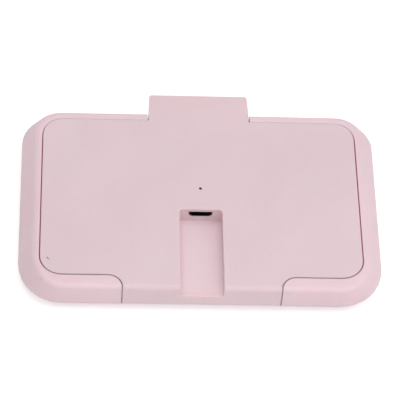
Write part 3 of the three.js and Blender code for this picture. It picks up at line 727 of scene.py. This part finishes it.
@dataclass
class Moulding:
    """A fine copy of a CAD moulding: merged, with every sharp edge given a moulded radius."""

    node: str
    piece_name: str
    edge_radius: float
    spared: Sequence[Box] = ()
    lips: Sequence[tuple[float, Box]] = ()
    upright: float = 0.05
    segments: int = 3
    crease: float = 30.0
    flat: float = 0.6
    merge: float = 0.002 * MM
    full_weight: int = 100

    def copied(self) -> Form:
        """Copies the node's mesh, with its loose triangles joined and its flat faces made whole.

        Returns:
            The mesh.
        """
        form = bmesh.new()
        form.from_mesh(bpy.data.objects[self.node].data)
        bmesh.ops.remove_doubles(form, verts=form.verts, dist=self.merge)
        bmesh.ops.dissolve_degenerate(form, edges=form.edges, dist=self.merge)
        flat = math.radians(self.flat)
        bmesh.ops.dissolve_limit(form, angle_limit=flat, verts=form.verts, edges=form.edges)
        return form

    def close_seam(self, form: Form) -> None:
        """Moves upright faces beside the seam outwards, so that the seam is a fine line.

        Args:
            form: The moulding's mesh.
        """
        shifts: dict[bmesh.types.BMVert, tuple[Vector, float]] = {}
        for face in form.faces:
            middle = face.calc_center_median()
            middle.x = abs(middle.x)
            closer = next((closer for closer, zone in self.lips if within(middle, (zone,))), 0.0)
            if closer and abs(face.normal.z) < self.upright:
                for vert in face.verts:
                    way, _ = shifts.get(vert, (Vector((0, 0, 0)), closer))
                    shifts[vert] = (way + Vector((*face.normal.xy, 0)), closer)
        for vert, (way, closer) in shifts.items():
            vert.co += way.normalized() * closer

    def mark_edges(self, form: Form) -> None:
        """Marks the sharp edges that get the radius, all but those inside the spared boxes.

        Args:
            form: The moulding's mesh.
        """
        weights = form.edges.layers.float.new("bevel_weight_edge")
        limit = math.radians(self.crease)
        for edge in form.edges:
            middle = (edge.verts[0].co + edge.verts[1].co) / 2
            sharp = len(edge.link_faces) == 2 and edge.calc_face_angle(0.0) > limit
            if sharp and not within(middle, self.spared):
                edge[weights] = 1.0

    def make(self) -> Piece:
        """Rounds the edges, keeps them under the solid's top and shades the flat faces level.

        Returns:
            The object, ready to be dressed.
        """
        form = self.copied()
        self.close_seam(form)
        self.mark_edges(form)
        mesh = bpy.data.meshes.new(self.piece_name)
        form.to_mesh(mesh)
        form.free()
        piece = add_object(self.piece_name, mesh)
        bevel = piece.modifiers.new("edges", "BEVEL")
        bevel.width, bevel.segments = self.edge_radius, self.segments
        bevel.limit_method, bevel.miter_outer = "WEIGHT", "MITER_ARC"
        bevel.use_clamp_overlap = False
        apply_modifiers(piece)
        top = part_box(self.node)[1].z
        for vert in piece.data.vertices:
            vert.co.z = min(vert.co.z, top)
        smooth(piece)
        level = piece.modifiers.new("level_faces", "WEIGHTED_NORMAL")
        level.mode, level.weight, level.keep_sharp = "FACE_AREA", self.full_weight, True
        apply_modifiers(piece)
        return piece


class GeometryTree(TreeBuilder):
    """A geometry tree with named sizes, which ends in real faces with a finish."""

    def __init__(self, name: str, sizes: Iterable[str]) -> None:
        """Makes the tree and its inputs.

        Args:
            name: The tree's name.
            sizes: The names of its size inputs.
        """
        self.tree = bpy.data.node_groups.new(name, "GeometryNodeTree")
        face = self.tree.interface
        face.new_socket("Geometry", in_out="INPUT", socket_type="NodeSocketGeometry")
        kinds = {**dict.fromkeys(sizes, "NodeSocketFloat"), "Finish": "NodeSocketMaterial"}
        self.keys = {label: face.new_socket(label, in_out="INPUT", socket_type=kind).identifier
                     for label, kind in kinds.items()}
        face.new_socket("Geometry", in_out="OUTPUT", socket_type="NodeSocketGeometry")
        super().__init__(self.tree)
        self.start, *given, self.finish, _ = self.add("NodeGroupInput").outputs
        self.sizes = [Signal(self, socket) for socket in given]

    def vector(self, x: object, y: object, z: object) -> Socket:
        """Returns three values as one vector."""
        return self.made("ShaderNodeCombineXYZ", X=x, Y=y, Z=z)

    def moved(self, geometry: Socket, offset: object, scale: object = (1, 1, 1)) -> Socket:
        """Returns geometry shifted and scaled."""
        return self.made("GeometryNodeTransform", Geometry=geometry, Translation=offset, Scale=scale)

    def close(self, geometry: Socket) -> None:
        """Ends the tree: real faces, with the finish that it is given."""
        real = self.made("GeometryNodeRealizeInstances", Geometry=geometry)
        self.add("NodeGroupOutput", None, {
            0: self.made("GeometryNodeSetMaterial", Geometry=real, Material=self.finish)})

    def grow(
        self, name: str, points: Path, joined: bool, sizes: Sequence[float], finish: Material
    ) -> Piece:
        """Runs the tree on points and keeps the result as a plain mesh.

        Args:
            name: The new object's name.
            points: The points that the tree works on.
            joined: Whether edges join them into a path.
            sizes: A value for each size input, in order.
            finish: The material.

        Returns:
            The object.
        """
        mesh = bpy.data.meshes.new(name)
        edges = [(index, index + 1) for index in range(len(points) - 1)] if joined else []
        mesh.from_pydata([tuple(point) for point in points], edges, [])
        piece = add_object(name, mesh)
        modifier = piece.modifiers.new(name, "NODES")
        modifier.node_group = self.tree
        for key, value in zip(self.keys.values(), (*sizes, finish)):
            modifier[key] = value
        apply_modifiers(piece)
        return piece


@dataclass
class Mouldings:
    """The two pink mouldings and the white cover inside the lid."""

    finishes: Finishes
    edge: float = 0.2 * MM
    cover_edge: float = 0.15 * MM
    margin: Sequence[float] = mm(0.6, 1.2, 0.35)
    window_rise: float = 6 * MM
    ring_far: float = 33 * MM
    ring_parts: Sequence[tuple[float, float, float]] = (
        (26.7, 55, -36), (17.6, 26.7, 20), (-55, -26.7, -36), (-26.7, -17.6, 20))
    lips: Sequence[tuple[float, Box]] = (
        (0.1 * MM, (mm(47.5, -35.5, 10.05), mm(54, 31.6, 13))),
        (0.13 * MM, (mm(17.8, 24, 10.05), mm(47.5, 31.6, 13))),
        (0.1 * MM, (mm(25, -41, 10.8), mm(47.5, -30, 13))),
        (0.1 * MM, (mm(25.5, -41, 0), mm(26.5, -36, 13))),
    )
    ledge_heights: Sequence[float] = mm(10, 10.2)
    flange_heights: Sequence[float] = mm(10.3, 10.5)

    def ring(self, low: float, high: float) -> list[Box]:
        """Returns the boxes round a narrow ring in the seam, between two heights, clear of tab and tongue."""
        return [((*mm(left, near), low), (right * MM, self.ring_far, high))
                for left, right, near in self.ring_parts]

    def build(self) -> None:
        """Builds the three pieces. The seam's narrow rings, the socket's mouth and the pinhole stay sharp."""
        margin = Vector(self.margin)
        mouth_low, mouth_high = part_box("usb_shell")
        lamp_low, lamp_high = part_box("indicator_led")
        mouth = (mouth_low - margin, mouth_high + margin)
        window = (lamp_low - margin, lamp_high + Vector((*margin.xy, self.window_rise)))
        ledge, flange = self.ring(*self.ledge_heights), self.ring(*self.flange_heights)
        for moulding, finish, slot, body in (
            (Moulding("base_frame", "frame_moulding", self.edge, ledge, self.lips),
             "pink_frame_plastic", "pink_plastic", "frame"),
            (Moulding("lid_shell", "lid_moulding", self.edge, (mouth, window, *flange), self.lips),
             "pink_lid_plastic", "pink_plastic", "lid"),
            (Moulding("lid_inner_cover", "cover_moulding", self.cover_edge),
             "white_cover_plastic", "white_plastic", "lid"),
        ):
            piece = moulding.make()
            piece.data.materials.append(self.finishes[finish])
            hand_over(piece, body, slot, moulding.node)


@dataclass
class SoftParts:
    """The foam pad under the frame, the silicone seal in its floor and the insulation in the lid."""

    finishes: Finishes
    opening_radius: float = 12 * MM
    seal_outside: float = 4.9 * MM
    seal_inside: float = 3.1 * MM
    seal_rise: float = 0.5 * MM
    seal_lip: Sequence[tuple[float, float]] = (
        (0.86, 0.1), (0.80, 0.7), (0.66, 0.98), (0.46, 0.9), (0.3, 0.35), (0.12, 0.16))
    pad_radius: float = 9.4 * MM
    pad_inside: float = 3 * MM
    pad_bulge: float = 0.14 * MM
    pad_levels: Sequence[float] = (0.0, 0.06, 0.16, 0.32, 0.5, 0.68, 0.84, 0.94, 1.0)
    pad_roundness: float = 0.6
    corner_steps: int = 24
    sheet_edge: float = 0.3 * MM
    fill: float = 0.9

    def outline(self, node: str, radius: float, grow: float, height: float) -> Loop:
        """Draws a solid's outline with round corners.

        Args:
            node: The solid.
            radius: The radius of its corners.
            grow: How far outside the solid the outline lies.
            height: Its Z.

        Returns:
            The points, anticlockwise.
        """
        (low, high), (x, y, _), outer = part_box(node), centre(node), radius + grow
        half_width, half_depth = (high.x - low.x) / 2 - radius, (high.y - low.y) / 2 - radius
        loop: Loop = []
        for number, (across, along) in enumerate(((1, -1), (1, 1), (-1, 1), (-1, -1))):
            for step in range(self.corner_steps + 1):
                turn = math.pi / 2 * (number - 1 + step / self.corner_steps)
                loop.append(Vector((x + across * half_width + outer * math.cos(turn),
                                    y + along * half_depth + outer * math.sin(turn), height)))
        return loop

    def opening(self, grow: float, height: float) -> Loop:
        """Returns the outline of the wipe opening, grown by a distance, at a height."""
        inset = self.seal_outside
        return self.outline("wipe_seal", self.opening_radius + inset, grow - inset, height)

    def seal(self) -> None:
        """Builds the seal: a foot in its groove and two soft lips."""
        low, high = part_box("wipe_seal")
        rise, floor = self.seal_rise, high.z - self.seal_rise
        middle, half = (self.seal_outside + self.seal_inside) / 2, (self.seal_outside - self.seal_inside) / 2
        side = [(1.0, low.z), (1.0, floor), *((share, floor + part * rise) for share, part in self.seal_lip)]
        profile = [*side, *((-share, height) for share, height in reversed(side))]
        loops = [self.opening(middle + share * half, height) for share, height in profile]
        self.dress(skin_ring("seal_ring", loops), "silicone", "wipe_seal", "frame")

    def pad(self) -> None:
        """Builds the pad: a foam ring whose cut edges swell a little."""
        low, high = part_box("adhesive_pad")
        edge = [((math.sin(math.pi * level) ** self.pad_roundness - 1) * self.pad_bulge,
                 low.z + level * (high.z - low.z)) for level in self.pad_levels]
        loops = [self.outline("adhesive_pad", self.pad_radius, swell, height) for swell, height in edge]
        loops += [self.opening(self.pad_inside - swell, height) for swell, height in reversed(edge)]
        piece = skin_ring("foam_pad", loops)
        self.dress(piece, "pad_foam", "adhesive_pad", "frame")

    def insulation(self) -> None:
        """Builds the insulation: a soft sheet with rounded cut edges."""
        piece = Moulding("insulation_foam", "insulation_sheet", self.sheet_edge).make()
        self.dress(piece, "insulation_foam", "insulation_foam", "lid")

    def dress(self, piece: Piece, finish: str, node: str, body: str) -> None:
        """Gives a piece its finish and its body, in place of its solid.

        Args:
            piece: The object.
            finish: The finish.
            node: The solid.
            body: The body that carries it.
        """
        piece.data.materials.append(self.finishes[finish])
        smooth(piece)
        hand_over(piece, body, finish, node)

    def build(self) -> None:
        """Builds the three pieces."""
        self.seal()
        self.pad()
        self.insulation()


@dataclass
class Screws:
    """The screws of the inner cover and of the board, all pan heads with a cross recess."""

    finishes: Finishes
    head_radius: float = 1.9 * MM
    head_height: float = 1.1 * MM
    shank_radius: float = 1.0 * MM
    pitch: float = 0.62 * MM
    recess_width: float = 0.62 * MM
    recess_depth: float = 0.55 * MM
    rim_share: float = 0.5
    dome_share: float = 0.55
    arm_share: float = 1.15
    core_share: float = 0.8
    thread_share: float = 0.82
    ridge_share: float = 0.17
    crisp: float = 35.0

    def tree(self) -> GeometryTree:
        """Builds the tree of a pan-head screw that stands head down on each point.

        Returns:
            The tree, with its sizes in metres.
        """
        tree = GeometryTree("pan_head_screw", (
            "Head Radius", "Head Height", "Shank Radius", "Length", "Pitch", "Recess Width", "Recess Depth"))
        radius, height, shank, length, pitch, width, depth = tree.sizes
        rim = tree.made("GeometryNodeMeshCylinder", Vertices=48, Radius=radius, Depth=height * self.rim_share)
        rim = tree.moved(rim, tree.vector(0.0, 0.0, height * (1 - self.rim_share / 2)))
        half_dome = height * self.dome_share
        dome = tree.made("GeometryNodeMeshUVSphere", Segments=48, Rings=24, Radius=radius)
        dome = tree.moved(dome, tree.vector(0.0, 0.0, half_dome), tree.vector(1.0, 1.0, half_dome / radius))
        head = tree.made("GeometryNodeMeshBoolean", {"operation": "UNION"}, Mesh_2=[rim, dome])
        reach, deep = radius * self.arm_share, depth * 2.0
        arms = [tree.made("GeometryNodeMeshCube", Size=tree.vector(*size, deep))
                for size in ((reach, width), (width, reach))]
        head = tree.made("GeometryNodeMeshBoolean", {"operation": "DIFFERENCE"}, Mesh_1=head, Mesh_2=arms)
        core = tree.made("GeometryNodeMeshCylinder", Vertices=32, Radius=shank * self.core_share,
                         Depth=length + height * (self.core_share / 2))
        core = tree.moved(core, tree.vector(0.0, 0.0, height * self.core_share + length * 0.5))
        run, ground = length - shank, shank * self.thread_share
        spiral = tree.made("GeometryNodeCurveSpiral", Resolution=24, Rotations=run / pitch,
                           Start_Radius=ground, End_Radius=ground, Height=run)
        spiral = tree.moved(spiral, tree.vector(0.0, 0.0, height + shank * 0.5))
        ridge = tree.made("GeometryNodeCurvePrimitiveCircle", {"mode": "RADIUS"},
                          Resolution=4, Radius=shank * self.ridge_share)
        thread = tree.made("GeometryNodeCurveToMesh", Curve=spiral, Profile_Curve=ridge, Fill_Caps=True)
        whole = tree.made("GeometryNodeJoinGeometry", Geometry=[head, core, thread])
        tree.close(tree.made("GeometryNodeInstanceOnPoints", Points=tree.start, Instance=whole))
        return tree

    def build(self) -> None:
        """Builds the cover's screws and the board's screws as two pieces."""
        tree = self.tree()
        for kind, count in (("cover_screw", 4), ("board_screw", 2)):
            nodes = [f"{kind}_{number + 1}" for number in range(count)]
            points = [(*centre(node)[:2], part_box(node)[0].z) for node in nodes]
            low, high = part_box(nodes[0])
            sizes = (self.head_radius, self.head_height, self.shank_radius, high.z - low.z - self.head_height,
                     self.pitch, self.recess_width, self.recess_depth)
            piece = tree.grow(f"{kind}s", points, False, sizes, self.finishes["steel"])
            smooth(piece, self.crisp)
            hand_over(piece, "lid", "steel", *nodes)


@dataclass
class Wiring:
    """The leads from the board to sensors and heater, with bared copper ends, and the heater's track."""

    finishes: Finishes
    lead_radius: float = 0.45 * MM
    thin_radius: float = 0.25 * MM
    end_gap: float = 0.3 * MM
    bridged: float = 0.8
    core_share: float = 0.5
    sleeve_step: float = 0.35 * MM
    copper_step: float = 0.5 * MM
    spacing: float = 5 * MM
    film_spare: float = 3.6 * MM
    track_runs: int = 11
    track_places: Sequence[float] = (0.0, 0.02, 0.5, 0.98, 1.0)
    track_sizes: Sequence[float] = (0.7 * MM, 0.04, 0.6 * MM)
    track_sunk: float = 0.03 * MM

    def __post_init__(self) -> None:
        """Builds the tree that draws a round or flattened bar smoothly along a path of points."""
        self.tree = tree = GeometryTree("bar_along_path", ("Radius", "Flatness", "Step"))
        radius, flatness, step = tree.sizes
        path = tree.made("GeometryNodeMeshToCurve", Mesh=tree.start)
        soft = tree.made("GeometryNodeCurveSplineType", {"spline_type": "CATMULL_ROM"}, Curve=path)
        even = tree.made("GeometryNodeResampleCurve", {"mode": "LENGTH"}, Curve=soft, Length=step)
        level = tree.made("GeometryNodeSetCurveNormal", {"mode": "Z_UP"}, Curve=even)
        ring = tree.made("GeometryNodeCurvePrimitiveCircle", {"mode": "RADIUS"}, Resolution=14, Radius=radius)
        ring = tree.moved(ring, (0, 0, 0), tree.vector(1.0, flatness, 1.0))
        tree.close(tree.made("GeometryNodeCurveToMesh", Curve=level, Profile_Curve=ring, Fill_Caps=True))

    def bar(self, name: str, points: Path, finish: str, sizes: Sequence[float]) -> Piece:
        """Draws one bar along a path.

        Args:
            name: The object's name.
            points: The path.
            finish: Its finish.
            sizes: Its radius, flatness and step.

        Returns:
            The object.
        """
        piece = self.tree.grow(name, points, True, sizes, self.finishes[finish])
        smooth(piece)
        return piece

    def from_board(self, board_x: float, end_x: float, end_z: float, side: int, radius: float) -> Loop:
        """Works out a lead's route from the board's rear edge to the sensor row.

        Args:
            board_x: Where it leaves the board.
            end_x: Where it ends.
            end_z: The height at which it ends.
            side: -1 or 1, the side from which it arrives.
            radius: Its radius.

        Returns:
            The points of the route.
        """
        row_y, start_z = centre("thermal_cutoff")[1], centre("circuit_board")[2]
        edge_y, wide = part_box("circuit_board")[1].y, 2 * radius
        out_y = edge_y + 3 * wide
        halfway = ((board_x + end_x) / 2 + side * wide, (out_y + row_y) / 2, (start_z + end_z) / 2 + wide)
        return [Vector(point) for point in (
            (board_x, edge_y + self.end_gap, start_z), (board_x, out_y, start_z), halfway,
            (end_x + side * 2 * wide, row_y, end_z + wide / 2), (end_x, row_y, end_z))]

    def lead(self, node: str, route: Loop, radius: float, finish: str) -> None:
        """Makes one insulated lead and its copper, in place of the solid.

        Args:
            node: The solid that it stands for.
            route: Its points.
            radius: Its radius.
            finish: The insulation's finish.
        """
        start, end = (tip + (tip - inner).normalized() * self.end_gap * self.bridged
                      for tip, inner in (route[:2], route[:-3:-1]))
        sleeve = self.bar(f"{node}_sleeve", route, finish, (radius, 1.0, self.sleeve_step))
        copper = self.bar(f"{node}_copper", [start, *route[1:-1], end], "contact_metal",
                          (radius * self.core_share, 1.0, self.copper_step))
        hand_over(sleeve, "lid", finish, node)
        hand_over(copper, "lid", "contact_metal")

    def track(self) -> None:
        """Lays the heater's track to and fro over the film."""
        low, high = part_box("heater_film")
        left, right = low.x + self.film_spare, high.x - self.film_spare
        near, far = low.y + self.film_spare, high.y - self.film_spare
        points = []
        for run in range(self.track_runs):
            y, z = near + (far - near) * run / (self.track_runs - 1), high.z - self.track_sunk
            start, end = (left, right) if run % 2 == 0 else (right, left)
            points += [(start + (end - start) * share, y, z) for share in self.track_places]
        hand_over(self.bar("heater_track", points, "contact_metal", self.track_sizes), "lid", "contact_metal")

    def build(self) -> None:
        """Builds every lead and the heater's track."""
        board_low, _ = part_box("circuit_board")
        cut_low, cut_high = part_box("thermal_cutoff")
        bead_low, bead_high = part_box("thermistor")
        _, row_y, cut_z = centre("thermal_cutoff")
        bead_x, _, bead_z = centre("thermistor")
        gap, radius, thin, wide = self.end_gap, self.lead_radius, self.thin_radius, 2 * self.lead_radius
        pad_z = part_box("heater_film")[1].z + wide
        red = self.from_board(board_low.x + wide, cut_low.x - gap, cut_z, -1, radius)
        link = [Vector((cut_high.x + gap + steps * wide, row_y, z))
                for steps, z in ((0, cut_z), (1, cut_z), (3, pad_z), (5, pad_z))]
        black = self.from_board(self.spacing / 2, 0.0, pad_z, 1, radius)
        self.lead("heater_lead_red", red, radius, "lead_red")
        self.lead("heater_lead_link", link, radius, "lead_red")
        self.lead("heater_lead_black", black, radius, "lead_black")
        for number, side, end_x in ((1, -1, bead_low.x - gap), (2, 1, bead_high.x + gap)):
            route = self.from_board(bead_x + side * self.spacing / 2, end_x, bead_z, side, thin)
            self.lead(f"thermistor_lead_{number}", route, thin, "lead_white")
        self.track()


@dataclass
class CarriedOver:
    """CAD pieces whose shape is right, given their real finishes."""

    finishes: Finishes

    def build(self, nodes: dict[str, Piece]) -> None:
        """Gives each CAD node the finish of the longest name that it starts with.

        Args:
            nodes: The CAD nodes by name.
        """
        plan = {
            "hinge_pin": "steel", "heat_plate": "aluminium", "heater_film": "heater_film",
            # usb_shell: dark metal, painted shade for the inside of the socket
            "circuit_board": "board", "usb_shell": "dark_tin", "usb_contact_tongue": "black_plastic",
            "usb_contact": "contact_metal", "indicator_led": "smoked_lens", "control_chip": "black_plastic",
            "switching_transistor": "black_plastic", "capacitor": "ceramic", "resistor": "black_plastic",
            "thermal_cutoff": "steel", "thermistor": "led_lens", "thermistor_lead": "lead_white",
        }
        for name, node in nodes.items():
            start = max((key for key in plan if name.startswith(key)), key=len, default=None)
            if start:
                for holder in node.material_slots:
                    holder.material = self.finishes[plan[start]]
                log.info("%s: %s", name, plan[start])


@dataclass(frozen=True)
class Lamp:
    """A square soft lamp that faces the object, with its place and side in metres and its power in watts."""

    name: str
    place: Sequence[float]
    side: float
    power: float

    def hang(self) -> None:
        """Puts the lamp in the scene."""
        data = bpy.data.lights.new(self.name, "AREA")
        data.size, data.energy = self.side, self.power
        lamp = add_object(self.name, data)
        lamp.location = self.place
        lamp.rotation_euler = (-Vector(self.place)).to_track_quat("-Z", "Y").to_euler()


@dataclass
class Studio:
    """The camera at the photograph's place, soft lamps and a pale floor."""

    finishes: Finishes
    elevation: float = 0.9424777960769379
    turn: float = -0.09922562444316307
    roll: float = 0.09820869579092455
    focal_pixels: float = 2162.8038787698374
    distance: float = 701.0995466779124 * MM
    aside: float = -0.8297598366093121 * MM
    above: float = 24.6626685162329 * MM
    target: Sequence[float] = mm(0.0, -34.9, 12.8)
    picture_pixels: float = 400.0
    sensor: float = 36.0
    room_light: float = 0.5
    floor_size: float = 3.0
    floor_depth: float = 0.05 * MM
    lamps: Sequence[Lamp] = (
        Lamp("window_right", (0.55, -0.10, 0.62), 0.5, 0.84),
        Lamp("card_front", (0.08, -0.50, 0.28), 0.4, 0.52),
        Lamp("ceiling", (0.0, 0.0, 0.6), 0.5, 1.46),
    )

    def camera(self) -> None:
        """Places the camera."""
        level = math.cos(self.elevation)
        back = Vector((math.sin(self.turn) * level, -math.cos(self.turn) * level, math.sin(self.elevation)))
        right = Vector((math.cos(self.turn), math.sin(self.turn), 0))
        up = back.cross(right)
        across = math.cos(self.roll) * right + math.sin(self.roll) * up
        upward = math.cos(self.roll) * up - math.sin(self.roll) * right
        place = Vector(self.target) + self.distance * back + self.aside * across + self.above * upward
        data = bpy.data.cameras.new("camera")
        data.sensor_width = self.sensor
        data.lens = self.focal_pixels * self.sensor / self.picture_pixels
        camera = add_object("camera", data)
        camera.matrix_world = Matrix((*zip(across, upward, back, place), (0, 0, 0, 1)))
        bpy.context.scene.camera = camera

    def world(self) -> None:
        """Lights everything evenly from all round, and shows the camera plain white."""
        world = bpy.data.worlds.new("white_room")
        world.use_nodes = True
        tree = TreeBuilder(world.node_tree)
        seen = tree.add("ShaderNodeLightPath").outputs
        white = Signal(tree, seen["Is Camera Ray"]).most(Signal(tree, seen["Is Transmission Ray"]))
        level = tree.made("ShaderNodeMapRange", Value=white, To_Min=self.room_light, To_Max=1.0)
        background = tree.nodes["Background"].inputs
        background["Color"].default_value = (1, 1, 1, 1)
        tree.feed(background["Strength"], level)
        bpy.context.scene.world = world

    def floor(self) -> None:
        """Lays the floor just under the object."""
        mesh = bpy.data.meshes.new("floor")
        form = bmesh.new()
        bmesh.ops.create_grid(form, x_segments=8, y_segments=8, size=self.floor_size)
        form.to_mesh(mesh)
        form.free()
        floor = add_object("floor", mesh)
        floor.location.z = -self.floor_depth
        floor.data.materials.append(self.finishes["floor"])

    def build(self) -> None:
        """Sets up the whole studio."""
        self.camera()
        self.world()
        for lamp in self.lamps:
            lamp.hang()
        self.floor()
        bpy.context.scene.view_settings.view_transform = "Standard"


def main() -> None:
    """Builds the warmer's looks in order."""
    logging.basicConfig(level=logging.INFO, format="%(name)s %(message)s")
    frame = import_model()
    finishes = Finishes()
    Studio(finishes).build()
    CarriedOver(finishes).build(frame["nodes"])
    for group in (Mouldings, SoftParts, Screws, Wiring):
        group(finishes).build()


if __name__ == "__main__":
    main()
